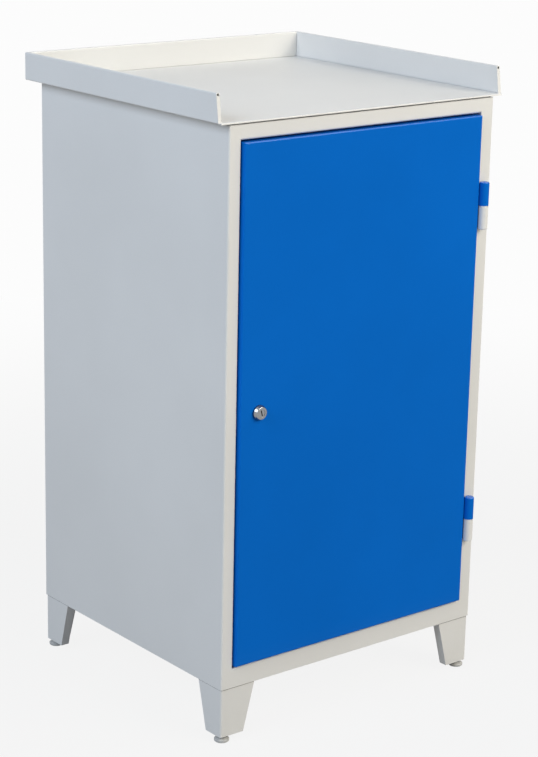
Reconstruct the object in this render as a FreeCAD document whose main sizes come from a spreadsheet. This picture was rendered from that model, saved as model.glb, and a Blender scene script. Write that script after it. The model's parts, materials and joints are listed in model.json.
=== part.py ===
import FreeCAD, Part
import math
import operator
import os
from types import SimpleNamespace

import Sketcher

# Driving dimensions, in millimetres, and one angle in degrees
SIZES = {
    # Welded sheet body
    "body_width": 530.0,
    "body_depth": 500.0,
    "body_height": 885.0,
    "body_sheet": 1.2,
    "body_fold": 2.2,
    "latch_stile": 21.0,
    "hinge_stile": 26.0,
    "top_rail_height": 23.0,
    "bottom_rail_height": 33.0,
    "jamb_depth": 18.0,
    "stop_lip": 10.0,
    "rear_fold": 22.0,
    "panel_flange": 15.0,
    "rail_return": 14.0,
    # Slotted uprights and shelves
    "upright_width": 30.0,
    "upright_rise": 12.0,
    "upright_sheet": 1.2,
    "upright_fold": 1.0,
    "upright_inset": 80.0,
    "upright_end_gap": 20.0,
    "slot_width": 18.0,
    "slot_height": 8.0,
    "slot_pitch": 50.0,
    "slot_margin": 32.5,
    "shelf_sheet": 1.2,
    "shelf_fold": 1.2,
    "shelf_flange": 25.0,
    "shelf_setback": 45.0,
    "shelf_side_gap": 1.5,
    "shelf_rear_gap": 6.0,
    "clip_sheet": 2.0,
    "clip_width": 16.0,
    "clip_ledge": 18.0,
    "clip_leg": 14.0,
    "clip_hook": 4.5,
    "clip_slack": 0.4,
    # Worktop tray
    "tray_overhang": 18.0,
    "tray_nose": 1.5,
    "tray_lift": 3.2,
    "tray_height": 48.0,
    "tray_sheet": 1.2,
    "tray_fold": 1.2,
    "tray_front_lip": 2.2,
    "upstand_setback": 4.5,
    "upstand_width": 6.0,
    "upstand_gap": 0.5,
    "upstand_foot": 0.8,
    "end_hole": 3.6,
    "end_lean": 6.0,
    "stud_radius": 3.0,
    "stud_length": 18.0,
    "stud_side_inset": 25.0,
    "stud_end_inset": 110.0,
    "spacer_radius": 10.0,
    "tray_washer_radius": 6.0,
    "tray_washer_height": 1.6,
    "tray_nut_across": 10.0,
    "tray_nut_height": 5.0,
    # Folded legs and levelling feet
    "leg_height": 81.0,
    "leg_inset": 1.5,
    "leg_wide_top": 66.0,
    "leg_wide_bottom": 45.0,
    "leg_narrow_top": 58.5,
    "leg_narrow_bottom": 38.0,
    "leg_sheet": 2.5,
    "leg_fold": 1.4,
    "leg_return": 15.0,
    "leg_plate": 28.0,
    "joint_height": 1.4,
    "joint_depth": 8.0,
    "leg_bolt_radius": 3.0,
    "leg_bolt_length": 14.0,
    "leg_bolt_near": 26.0,
    "leg_bolt_far": 47.0,
    "leg_bolt_across": 10.0,
    "leg_bolt_head": 4.0,
    "leg_nut_height": 5.0,
    "foot_height": 11.0,
    "foot_inset": 13.0,
    "pad_radius": 12.0,
    "pad_height": 6.5,
    "pad_rim": 4.0,
    "pad_ease": 1.2,
    "pad_shoulder": 7.2,
    "knob_radius": 5.2,
    "knob_depth": 3.5,
    "knob_clearance": 0.3,
    "stem_radius": 4.0,
    "stem_engaged": 46.0,
    "collar_across": 13.0,
    "collar_height": 3.5,
    "weld_nut_across": 13.0,
    "weld_nut_height": 6.5,
    "stem_hole_clearance": 0.6,
    # Folded door
    "door_gap": 3.0,
    "door_proud": 7.0,
    "door_depth": 22.0,
    "door_sheet": 1.2,
    "door_fold": 1.0,
    "door_lip": 16.0,
    "stiffener_width": 70.0,
    "stiffener_flange": 16.0,
    "stiffener_rise": 18.0,
    "stiffener_sheet": 1.2,
    "stiffener_fold": 1.0,
    "stiffener_end_gap": 6.0,
    "buffer_radius": 3.5,
    "buffer_clearance": 0.3,
    "buffer_spread": 280.0,
    # Lift-off hinges
    "hinge_inset": 20.0,
    "upper_hinge_drop": 146.0,
    "lower_hinge_rise": 145.0,
    "knuckle_radius": 8.0,
    "frame_knuckle": 38.0,
    "door_knuckle": 38.0,
    "knuckle_round": 2.0,
    "knuckle_gap": 0.5,
    "hinge_leaf": 3.0,
    "leaf_ease": 3.0,
    "leaf_reach": 9.0,
    "leaf_setback": 2.0,
    "pin_radius": 4.0,
    "pin_depth": 30.0,
    "pin_air": 2.0,
    "hinge_washer": 1.0,
    "washer_step": 1.2,
    # Cam lock
    "lock_inset": 35.0,
    "lock_rise": 409.0,
    "bezel_radius": 12.0,
    "bezel_rim": 3.0,
    "bezel_height": 8.0,
    "bezel_face_radius": 9.5,
    "bezel_round": 1.6,
    "lock_barrel_radius": 9.0,
    "lock_nut_across": 26.0,
    "lock_nut_height": 5.0,
    "plug_radius": 6.0,
    "plug_recess": 0.6,
    "keyway_width": 1.8,
    "keyway_length": 10.0,
    "keyway_depth": 12.0,
    "keyway_angle": 14.0,
    "cam_width": 16.0,
    "cam_sheet": 3.0,
    "cam_round": 3.0,
    "cam_clearance": 0.8,
    "cam_engagement": 6.0,
    "cam_screw_radius": 2.0,
    "cam_screw_length": 12.0,
    "cam_screw_air": 1.0,
    "cam_screw_head_radius": 4.5,
    "cam_screw_head": 3.0,
    # Fits shared by several pieces
    "running_fit": 0.05,
    "hole_clearance": 0.3,
}

# Slots that the shelf clips hang in, counted from 0 at the foot of the uprights
SHELF_SLOTS = {"lower": 4, "upper": 10}
HEXAGON_SIDES = 6


class Size(float):
    """A length that remembers the sheet formula it comes from."""

    def __new__(cls, number, formula=None):
        size = super().__new__(cls, number)
        size.formula = formula if formula else f"({float(number)!r})"
        return size

    def __add__(self, other):
        return joined(self, "+", other)

    def __radd__(self, other):
        return joined(other, "+", self)

    def __sub__(self, other):
        return joined(self, "-", other)

    def __rsub__(self, other):
        return joined(other, "-", self)

    def __mul__(self, other):
        return joined(self, "*", other)

    def __rmul__(self, other):
        return joined(other, "*", self)

    def __truediv__(self, other):
        return joined(self, "/", other)

    def __neg__(self):
        return joined(-1.0, "*", self)


SIGNS = {"+": operator.add, "-": operator.sub, "*": operator.mul, "/": operator.truediv}


def as_size(number):
    """Take a size as it is, and wrap a plain number."""
    return number if isinstance(number, Size) else Size(number)


def joined(first, sign, second):
    """Combine two lengths into one, in number and in formula."""
    first = as_size(first)
    second = as_size(second)
    number = SIGNS[sign](float(first), float(second))
    return Size(number, f"({first.formula} {sign} {second.formula})")


doc = FreeCAD.newDocument("workshop_cabinet")
sheet = doc.addObject("Spreadsheet::Sheet", "Sizes")
shelf_aliases = {f"{shelf}_shelf_slot": slot for shelf, slot in SHELF_SLOTS.items()}
entries = {**SIZES, **shelf_aliases}
for row, (alias, number) in enumerate(entries.items(), start=1):
    sheet.set(f"A{row}", alias)
    sheet.set(f"B{row}", str(number))
    sheet.setAlias(f"B{row}", alias)
doc.recompute()
size = SimpleNamespace(**{alias: Size(number, f"Sizes.{alias}") for alias, number in entries.items()})
nodes = []

# Planes of the body: origin on the floor under the middle of the body, x to the right, y to the back
left = -size.body_width / 2
right = size.body_width / 2
front = -size.body_depth / 2
back = size.body_depth / 2
base = size.foot_height + size.leg_height
top = base + size.body_height
sheet_in_front = front + size.body_sheet
sheet_in_back = back - size.body_sheet
sheet_in_left = left + size.body_sheet
sheet_in_right = right - size.body_sheet
floor_top = base + size.body_sheet
ceiling = top - size.body_sheet

# Door opening, and the door inside it
open_left = left + size.latch_stile
open_right = right - size.hinge_stile
open_top = top - size.top_rail_height
open_bottom = base + size.bottom_rail_height
stop_face = front + size.jamb_depth
door_left = open_left + size.door_gap
door_right = open_right - size.door_gap
door_top = open_top - size.door_gap
door_bottom = open_bottom + size.door_gap
door_front = front - size.door_proud
door_back = door_front + size.door_depth
door_middle = (door_bottom + door_top) / 2

AXES = ("x", "y", "z")
PLANES = {"XY_Plane": ("x", "y", "z"), "XZ_Plane": ("x", "z", "y"), "YZ_Plane": ("y", "z", "x")}
TOUCH = 1e-5


def bind(item, prop, length):
    """Bind one property of an object to its formula on the sheet."""
    item.setExpression(prop, as_size(length).formula)


def seat(item, x, y, z, rotation=None):
    """Place an object, with each coordinate bound to the sheet."""
    if rotation:
        item.Placement = FreeCAD.Placement(FreeCAD.Vector(), rotation)
    for axis, length in zip(AXES, (x, y, z)):
        bind(item, f"Placement.Base.{axis}", length)


def keep(item):
    """List an object as a finished piece."""
    nodes.append(item)
    return item


def new_body(name):
    """Start a piece that is made by features."""
    return doc.addObject("PartDesign::Body", name)


def origin_plane(body, role):
    """Find one of a body's own origin planes."""
    return next(feature for feature in body.Origin.OriginFeatures if feature.Role == role)


def outline(body, name, plane, corners, lift):
    """Draw a closed outline whose corners are bound to the sheet, on a lifted origin plane."""
    sketch = body.newObject("Sketcher::SketchObject", name)
    sketch.AttachmentSupport = (origin_plane(body, plane), [""])
    sketch.MapMode = "FlatFace"
    bind(sketch, "AttachmentOffset.Base.z", lift)
    points = [FreeCAD.Vector(u, v, 0) for u, v in corners]
    count = len(points)
    for i in range(count):
        sketch.addGeometry(Part.LineSegment(points[i], points[(i + 1) % count]))
    for i in range(count):
        sketch.addConstraint(Sketcher.Constraint("Coincident", i, 2, (i + 1) % count, 1))
    for i, corner in enumerate(corners):
        for kind, length in zip(("DistanceX", "DistanceY"), corner):
            index = sketch.addConstraint(Sketcher.Constraint(kind, -1, 1, i, 1, float(length)))
            bind(sketch, f"Constraints[{index}]", length)
    return sketch


def extrude(body, name, plane, corners, low, high):
    """Pad an outline between two places on the axis that its plane faces."""
    lift = -high if plane == "XZ_Plane" else low
    pad = body.newObject("PartDesign::Pad", name)
    pad.Profile = outline(body, f"{name}_outline", plane, corners, as_size(lift))
    bind(pad, "Length", high - low)
    return pad


def turn(body, name, corners):
    """Revolve a half section of (radius, height) corners about the body's own upright axis."""
    revolution = body.newObject("PartDesign::Revolution", name)
    revolution.Profile = outline(body, f"{name}_section", "XZ_Plane", corners, Size(0.0))
    revolution.ReferenceAxis = (revolution.Profile[0], ["V_Axis"])
    revolution.Angle = 360.0
    return revolution


def block(body, name, x, y, z, kind="Additive"):
    """Add or cut a block between the low and high ends given for each axis."""
    item = body.newObject(f"PartDesign::{kind}Box", name)
    for prop, (low, high) in zip(("Length", "Width", "Height"), (x, y, z)):
        bind(item, prop, high - low)
    seat(item, x[0], y[0], z[0])
    return item


def cut_block(body, name, x, y, z):
    """Cut a block out of a body."""
    return block(body, name, x, y, z, kind="Subtractive")


def taper(body, name, kind, lower, upper, low, high):
    """Add or cut a block that tapers between two (x ends, y ends) rectangles, one above the other."""
    item = body.newObject(f"PartDesign::{kind}Wedge", name)
    item.Placement = FreeCAD.Placement(FreeCAD.Vector(), UPRIGHT)
    for mark, (x, y) in (("", lower), ("2", upper)):
        bind(item, f"X{mark}min", x[0])
        bind(item, f"X{mark}max", x[1])
        bind(item, f"Z{mark}min", -y[1])
        bind(item, f"Z{mark}max", -y[0])
    bind(item, "Ymin", low)
    bind(item, "Ymax", high)
    return item


def rod(body, name, radius, start, length, rotation=None, kind="Additive"):
    """Add or cut a round rod from a start point, upright unless it is turned."""
    item = body.newObject(f"PartDesign::{kind}Cylinder", name)
    bind(item, "Radius", radius)
    bind(item, "Height", length)
    seat(item, *start, rotation=rotation)
    return item


def bore(body, name, radius, start, length, rotation=None):
    """Cut a round hole from a start point, upright unless it is turned."""
    return rod(body, name, radius, start, length, rotation, kind="Subtractive")


def round_edges(body, name, radius, wanted):
    """Round every edge of the body so far that passes the test."""
    doc.recompute()
    made = body.Tip
    names = [f"Edge{i}" for i, edge in enumerate(made.Shape.Edges, start=1) if wanted(edge)]
    if not names:
        raise RuntimeError(f"{body.Label}: no edge for {name}")
    fillet = body.newObject("PartDesign::Fillet", name)
    fillet.Base = (made, names)
    bind(fillet, "Radius", radius)
    return fillet


def near(first, second):
    """Tell whether two lengths are the same."""
    return abs(first - second) < TOUCH


def lies_at(edge, **places):
    """Tell whether both ends of an edge lie at the given coordinates."""
    ends = [vertex.Point for vertex in edge.Vertexes]
    return all(near(getattr(end, axis), place) for end in ends for axis, place in places.items())


def runs_along(edge, axis):
    """Tell whether an edge is straight and runs along one axis."""
    if not isinstance(edge.Curve, Part.Line):
        return False
    first, last = (vertex.Point for vertex in edge.Vertexes)
    return all(near(getattr(first, other), getattr(last, other)) for other in AXES if other != axis)


def is_circle(edge, radius, height):
    """Tell whether an edge is a circle of a given radius at a given height."""
    if not isinstance(edge.Curve, Part.Circle):
        return False
    return near(edge.Curve.Radius, radius) and near(edge.Curve.Center.z, height)


def left_normal(first, second):
    """Unit normal on the left of a run between two corners of a square-cornered path."""
    du = float(second[0]) - float(first[0])
    dv = float(second[1]) - float(first[1])
    run = math.hypot(du, dv)
    return round(-dv / run), round(du / run)


def folded(path, gauge):
    """Outline of a folded sheet whose one face follows the path, with the sheet on its left.

    Returns the outline and, for each bend, its outer and its inner corner.
    """
    normals = [left_normal(path[i], path[i + 1]) for i in range(len(path) - 1)]
    offset = []
    bends = []
    for i, (u, v) in enumerate(path):
        sides = normals[max(i - 1, 0):i + 1]
        across = sum(side[0] for side in sides)
        along = sum(side[1] for side in sides)
        offset.append((u + gauge * across, v + gauge * along))
        if len(sides) == 2 and sides[0] != sides[1]:
            turns_left = sides[0][0] * sides[1][1] - sides[0][1] * sides[1][0] > 0
            pair = (path[i], offset[i])
            bends.append(pair if turns_left else pair[::-1])
    return path + offset[::-1], bends


def fold_sheet(body, name, plane, path, gauge, radius, low, high):
    """Pad a folded sheet and round its bends, inside by the radius and outside by a gauge more."""
    corners, bends = folded(path, gauge)
    extrude(body, name, plane, corners, low, high)
    u_axis, v_axis, run_axis = PLANES[plane]
    for side, bend_radius in enumerate((radius + gauge, radius)):
        spots = [bend[side] for bend in bends]

        def at_bend(edge):
            return runs_along(edge, run_axis) and near(edge.Length, high - low) and any(
                lies_at(edge, **{u_axis: u, v_axis: v}) for u, v in spots)

        round_edges(body, f"{name}_bend_{side}", bend_radius, at_bend)


def box(name, x, y, z):
    """A plain block between the low and high ends given for each axis."""
    item = doc.addObject("Part::Box", name)
    for prop, (low, high) in zip(("Length", "Width", "Height"), (x, y, z)):
        bind(item, prop, high - low)
    seat(item, x[0], y[0], z[0])
    return item


def disc(name, radius, start, height, rotation=None):
    """A plain round disc or rod, upright unless it is turned."""
    item = doc.addObject("Part::Cylinder", name)
    bind(item, "Radius", radius)
    bind(item, "Height", height)
    seat(item, *start, rotation=rotation)
    return item


def shape_hexagon(item, across, height):
    """Give a prism six sides, its width across the flats and its height."""
    item.Polygon = HEXAGON_SIDES
    bind(item, "Circumradius", across / (2 * math.cos(math.pi / HEXAGON_SIDES)))
    bind(item, "Height", height)


def hexagon(name, across, start, height):
    """A plain hexagonal bar, given its width across the flats."""
    item = doc.addObject("Part::Prism", name)
    shape_hexagon(item, across, height)
    seat(item, *start)
    return item


def fused(name, items):
    """Several plain shapes as one solid."""
    item = doc.addObject("Part::MultiFuse", name)
    item.Shapes = items
    return item


def pierced(name, blank, tool):
    """A plain shape with another cut out of it."""
    item = doc.addObject("Part::Cut", name)
    item.Base = blank
    item.Tool = tool
    return item


def ring(name, outer, inner, start, height):
    """A flat washer."""
    return pierced(name, disc(f"{name}_blank", outer, start, height),
                   disc(f"{name}_bore", inner, start, height))


def hex_nut(name, across, bore_radius, start, height):
    """A plain hexagonal nut."""
    return pierced(name, hexagon(f"{name}_blank", across, start, height),
                   disc(f"{name}_bore", bore_radius, start, height))


def group(name, items):
    """Identical loose pieces as one node of separate solids."""
    item = doc.addObject("Part::Compound", name)
    item.Links = items
    return keep(item)


def make_side_panel(name, side, stile):
    """Side sheet with its front stile, rear fold, door jamb and stop lip; side is -1 on the left."""
    outer = side * size.body_width / 2
    stile_edge = outer - side * stile
    jamb_inside = stile_edge + side * size.body_sheet
    lip_edge = stile_edge - side * size.stop_lip
    body = new_body(name)
    path = [(outer - side * size.rear_fold, back), (outer, back), (outer, front), (stile_edge, front)]
    fold_sheet(body, "wrap", "XY_Plane", path if side < 0 else path[::-1], size.body_sheet,
               size.body_fold, base, top)
    jamb_x = sorted((stile_edge, jamb_inside))
    lip_x = sorted((lip_edge, jamb_inside))
    lip_back = stop_face + size.body_sheet
    block(body, "jamb", jamb_x, (front, lip_back), (open_bottom, open_top))
    block(body, "stop", lip_x, (stop_face, lip_back), (open_bottom, open_top))
    convex = [(stile_edge, front), (jamb_inside, lip_back)]
    concave = [(jamb_inside, sheet_in_front), (stile_edge, stop_face)]
    for label, spots, radius in (("outside", convex, size.body_fold + size.body_sheet),
                                 ("inside", concave, size.body_fold)):

        def at_jamb(edge):
            reach = float(open_top - open_bottom)
            return runs_along(edge, "z") and edge.Length < reach + TOUCH and any(
                lies_at(edge, x=x, y=y) for x, y in spots)

        round_edges(body, f"jamb_{label}", radius, at_jamb)
    return keep(body)


def make_rails():
    """Folded channels above and below the door, butted between the stiles."""
    rail = new_body("top_rail")
    path = [(front, top), (front, open_top), (stop_face, open_top),
            (stop_face, open_top + size.rail_return)]
    fold_sheet(rail, "channel", "YZ_Plane", path, size.body_sheet, size.body_fold, open_left, open_right)
    keep(rail)
    rail = new_body("bottom_rail")
    path = [(stop_face, floor_top), (stop_face, open_bottom), (front, open_bottom), (front, base)]
    fold_sheet(rail, "channel", "YZ_Plane", path, size.body_sheet, size.body_fold, open_left, open_right)
    keep(rail)


def corner_signs():
    """Walk round the four corners: name, side (-1 left) and end (-1 front)."""
    for end, end_name in ((-1, "front"), (1, "rear")):
        for side, side_name in ((-1, "left"), (1, "right")):
            yield f"{end_name}_{side_name}", side, end


def stud_places():
    """Places of the four studs under the tray."""
    reach_x = size.body_width / 2 - size.stud_side_inset
    reach_y = size.body_depth / 2 - size.stud_end_inset
    return [(name, side * reach_x, end * reach_y) for name, side, end in corner_signs()]


def leg_bolt_places():
    """Places of the two bolts in each leg's top plate."""
    places = []
    for name, side, end in corner_signs():
        for label, in_x, in_y in (("near", size.leg_bolt_near, size.leg_bolt_far),
                                  ("far", size.leg_bolt_far, size.leg_bolt_near)):
            x = side * (size.body_width / 2 - in_x)
            y = end * (size.body_depth / 2 - in_y)
            places.append((f"{name}_{label}", x, y))
    return places


def notch_corners(body, low, high):
    """Cut a panel's corners back from the bends of the side panels."""
    for name, side, end in corner_signs():
        corner_x = side * (size.body_width / 2 - size.body_sheet)
        corner_y = end * (size.body_depth / 2 - size.body_sheet)
        cut_block(body, f"notch_{name}", sorted((corner_x, corner_x - side * size.body_fold)),
                  sorted((corner_y, corner_y - end * size.body_fold)), (low, high))


def make_flat_panels():
    """Roof and floor sheets with their weld flanges, and the flat back."""
    roof = new_body("top_panel")
    flange_end = top - size.panel_flange
    path = [(sheet_in_right, flange_end), (sheet_in_right, top), (sheet_in_left, top),
            (sheet_in_left, flange_end)]
    fold_sheet(roof, "pan", "XZ_Plane", path, size.body_sheet, size.body_fold, sheet_in_front, sheet_in_back)
    notch_corners(roof, flange_end, top)
    for name, x, y in stud_places():
        bore(roof, f"stud_hole_{name}", size.stud_radius + size.hole_clearance, (x, y, ceiling),
             size.body_sheet)
    keep(roof)
    floor = new_body("bottom_panel")
    flange_end = base + size.panel_flange
    path = [(sheet_in_left, flange_end), (sheet_in_left, base), (sheet_in_right, base),
            (sheet_in_right, flange_end)]
    fold_sheet(floor, "pan", "XZ_Plane", path, size.body_sheet, size.body_fold, sheet_in_front, sheet_in_back)
    notch_corners(floor, base, flange_end)
    for name, x, y in leg_bolt_places():
        bore(floor, f"bolt_hole_{name}", size.leg_bolt_radius + size.hole_clearance, (x, y, base),
             size.body_sheet)
    keep(floor)
    corner_gap = size.body_fold + size.body_sheet * 2
    keep(box("back_panel", (sheet_in_left + corner_gap, sheet_in_right - corner_gap),
             (sheet_in_back - size.body_sheet, sheet_in_back), (floor_top, ceiling)))


upright_bottom = base + size.upright_end_gap
upright_top = top - size.upright_end_gap
first_slot = upright_bottom + size.slot_margin


def slot_floor(slot):
    """Height of the lower edge of a slot, counted from 0."""
    return first_slot + size.slot_pitch * slot


def make_upright(name, side, end):
    """Slotted channel that is welded to a side panel and carries the shelf clips."""
    wall = side * (size.body_width / 2 - size.body_sheet)
    face = wall - side * size.upright_rise
    middle = end * (size.body_depth / 2 - size.upright_inset)
    near_edge = middle - size.upright_width / 2
    far_edge = middle + size.upright_width / 2
    body = new_body(f"upright_{name}")
    path = [(wall, far_edge), (face, far_edge), (face, near_edge), (wall, near_edge)]
    fold_sheet(body, "channel", "XY_Plane", path if side > 0 else path[::-1], size.upright_sheet,
               size.upright_fold, upright_bottom, upright_top)
    slot_x = sorted((face, face + side * size.upright_sheet))
    slot_y = (middle - size.slot_width / 2, middle + size.slot_width / 2)
    slot = body.newObject("PartDesign::Pocket", "slot")
    slot_ceiling = first_slot + size.slot_height
    slot_corners = [(slot_y[0], first_slot), (slot_y[1], first_slot), (slot_y[1], slot_ceiling),
                    (slot_y[0], slot_ceiling)]
    slot.Profile = outline(body, "slot_outline", "YZ_Plane", slot_corners, slot_x[0])
    slot.Reversed = True
    bind(slot, "Length", size.upright_sheet)
    doc.recompute()
    slots = body.newObject("PartDesign::LinearPattern", "slots")
    slots.Originals = [slot]
    slots.Direction = (slot.Profile[0], ["V_Axis"])
    count = int((upright_top - size.slot_margin - first_slot) / size.slot_pitch) + 1
    slots.Occurrences = count
    bind(slots, "Length", size.slot_pitch * (count - 1))
    body.Tip = slots
    doc.recompute()
    slot_volume = size.slot_width * size.slot_height * size.upright_sheet * count
    if abs(body.Shape.Volume + slot_volume - slots.Originals[0].BaseFeature.Shape.Volume) > 1.0:
        raise RuntimeError(f"{name}: the slots don't cut the upright")
    return keep(body)


def shelf_underside(slot):
    """Height of the lower edge of a shelf whose clips hang in a given slot."""
    return slot_floor(slot) + size.clip_sheet + size.clip_slack


def make_clips(name, slot):
    """Four bent clips that hook into the uprights and carry one shelf."""
    seat_z = shelf_underside(slot)
    clips = []
    for corner, side, end in corner_signs():
        face = side * (size.body_width / 2 - size.body_sheet - size.upright_rise)
        hook_near = face + side * (size.upright_sheet + size.clip_slack)
        hook_far = hook_near + side * size.clip_sheet
        middle = end * (size.body_depth / 2 - size.upright_inset)
        width = (middle - size.clip_width / 2, middle + size.clip_width / 2)
        label = f"{name}_{corner}"
        ledge = box(f"{label}_ledge", sorted((face - side * size.clip_ledge, hook_far)), width,
                    (seat_z - size.clip_sheet, seat_z))
        leg = box(f"{label}_leg", sorted((face - side * size.clip_sheet, face)), width,
                  (seat_z - size.clip_leg, seat_z))
        hook = box(f"{label}_hook", sorted((hook_near, hook_far)), width,
                   (seat_z - size.clip_sheet, seat_z + size.clip_hook))
        clips.append(fused(label, [ledge, leg, hook]))
    return group(name, clips)


def make_shelf(name, slot):
    """Shelf with its four edges folded down."""
    reach = size.body_width / 2 - size.body_sheet - size.upright_rise - size.shelf_side_gap
    near_edge = front + size.shelf_setback
    far_edge = sheet_in_back - size.body_sheet - size.shelf_rear_gap
    lower = shelf_underside(slot)
    upper = lower + size.shelf_flange
    gauge = size.shelf_sheet
    body = new_body(name)
    block(body, "blank", (-reach, reach), (near_edge, far_edge), (lower, upper))
    round_edges(body, "top_bends", size.shelf_fold + gauge, lambda edge: lies_at(edge, z=upper))
    cut_block(body, "underside", (gauge - reach, reach - gauge), (near_edge + gauge, far_edge - gauge),
              (lower, upper - gauge))
    round_edges(body, "inner_bends", size.shelf_fold, lambda edge: lies_at(edge, z=upper - gauge))
    return keep(body)


tray_left = left - size.tray_overhang
tray_right = right + size.tray_overhang
tray_back = back + size.tray_overhang
tray_front = front - size.tray_nose
tray_under = top + size.tray_lift
tray_floor = tray_under + size.tray_sheet
tray_top = top + size.tray_height


def make_tray():
    """Worktop tray with double-walled upstands on three sides and a small lip in front."""
    gauge = size.tray_sheet
    foot_top = tray_floor + size.upstand_foot
    inner_foot = foot_top + size.upstand_gap
    inner_left = tray_left + size.upstand_width
    inner_right = tray_right - size.upstand_width
    inner_back = tray_back - size.upstand_width
    upstand_front = tray_front + size.upstand_setback
    body = new_body("worktop_tray")
    path = [(inner_left, inner_foot), (inner_left, tray_top), (tray_left, tray_top), (tray_left, tray_under),
            (tray_right, tray_under), (tray_right, tray_top), (inner_right, tray_top), (inner_right, inner_foot)]
    fold_sheet(body, "trough", "XZ_Plane", path, gauge, size.tray_fold, upstand_front, tray_back)
    corner = size.tray_fold + gauge
    block(body, "front_strip", (tray_left + corner, tray_right - corner), (tray_front, upstand_front),
          (tray_under, tray_floor))
    block(body, "front_lip", (tray_left + corner, tray_right - corner), (tray_front, tray_front + gauge),
          (tray_floor - size.tray_front_lip, tray_floor))
    round_edges(body, "front_bend", gauge, lambda edge: lies_at(edge, y=tray_front, z=tray_floor))
    rear_left = inner_left + size.upstand_gap
    rear_right = inner_right - size.upstand_gap
    rear_path = [(tray_back, tray_under), (tray_back, tray_top), (inner_back, tray_top), (inner_back, inner_foot)]
    fold_sheet(body, "rear", "YZ_Plane", rear_path, gauge, size.tray_fold, rear_left, rear_right)
    foot = (tray_floor - gauge / 2, foot_top)
    block(body, "rear_foot", (inner_left - gauge / 2, inner_right + gauge / 2),
          (inner_back, inner_back + gauge), foot)
    end_top = tray_top - gauge - size.end_hole
    end_front = upstand_front + size.end_lean * (end_top - tray_floor) / (tray_top - tray_floor)
    clear_front = upstand_front - gauge
    for name, side, edge, inner, rear in (("left", 1, tray_left, inner_left, rear_left),
                                          ("right", -1, tray_right, inner_right, rear_right)):
        outer = edge + side * gauge
        wall = inner - side * gauge
        block(body, f"{name}_foot", sorted((wall, inner)), (upstand_front, tray_back - gauge / 2), foot)
        block(body, f"{name}_rear_corner", sorted((outer, rear)), (tray_back - gauge, tray_back),
              (tray_under, tray_top - corner))
        across = sorted((edge - side * gauge, inner + side * gauge))
        taper(body, f"{name}_slant", "Subtractive", (across, (clear_front, upstand_front)),
              (across, (clear_front, upstand_front + size.end_lean)), tray_floor, tray_top)
        closed = sorted((outer, wall))
        taper(body, f"{name}_end", "Additive", (closed, (upstand_front, upstand_front + gauge)),
              (closed, (end_front, end_front + gauge)), tray_floor, end_top)
    keep(body)


def make_tray_fixings():
    """Weld studs under the tray with their spacers, washers and nuts."""
    fit = size.stud_radius + size.running_fit
    washer_seat = ceiling - size.tray_washer_height
    nut_seat = washer_seat - size.tray_nut_height
    studs = []
    spacers = []
    washers = []
    nuts = []
    for name, x, y in stud_places():
        studs.append(disc(f"stud_{name}", size.stud_radius, (x, y, tray_under - size.stud_length),
                          size.stud_length))
        spacers.append(ring(f"spacer_{name}", size.spacer_radius, size.stud_radius + size.hole_clearance,
                            (x, y, top), size.tray_lift))
        washers.append(ring(f"washer_{name}", size.tray_washer_radius, size.stud_radius + size.hole_clearance,
                            (x, y, washer_seat), size.tray_washer_height))
        nuts.append(hex_nut(f"stud_nut_{name}", size.tray_nut_across, fit, (x, y, nut_seat),
                            size.tray_nut_height))
    group("tray_studs", studs)
    group("tray_spacers", spacers)
    group("tray_washers", washers)
    group("tray_nuts", nuts)


UPRIGHT = FreeCAD.Rotation(FreeCAD.Vector(1, 0, 0), 90)


def foot_place(side, end):
    """Place of a foot under one corner."""
    return side * (size.body_width / 2 - size.foot_inset), end * (size.body_depth / 2 - size.foot_inset)


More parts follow.
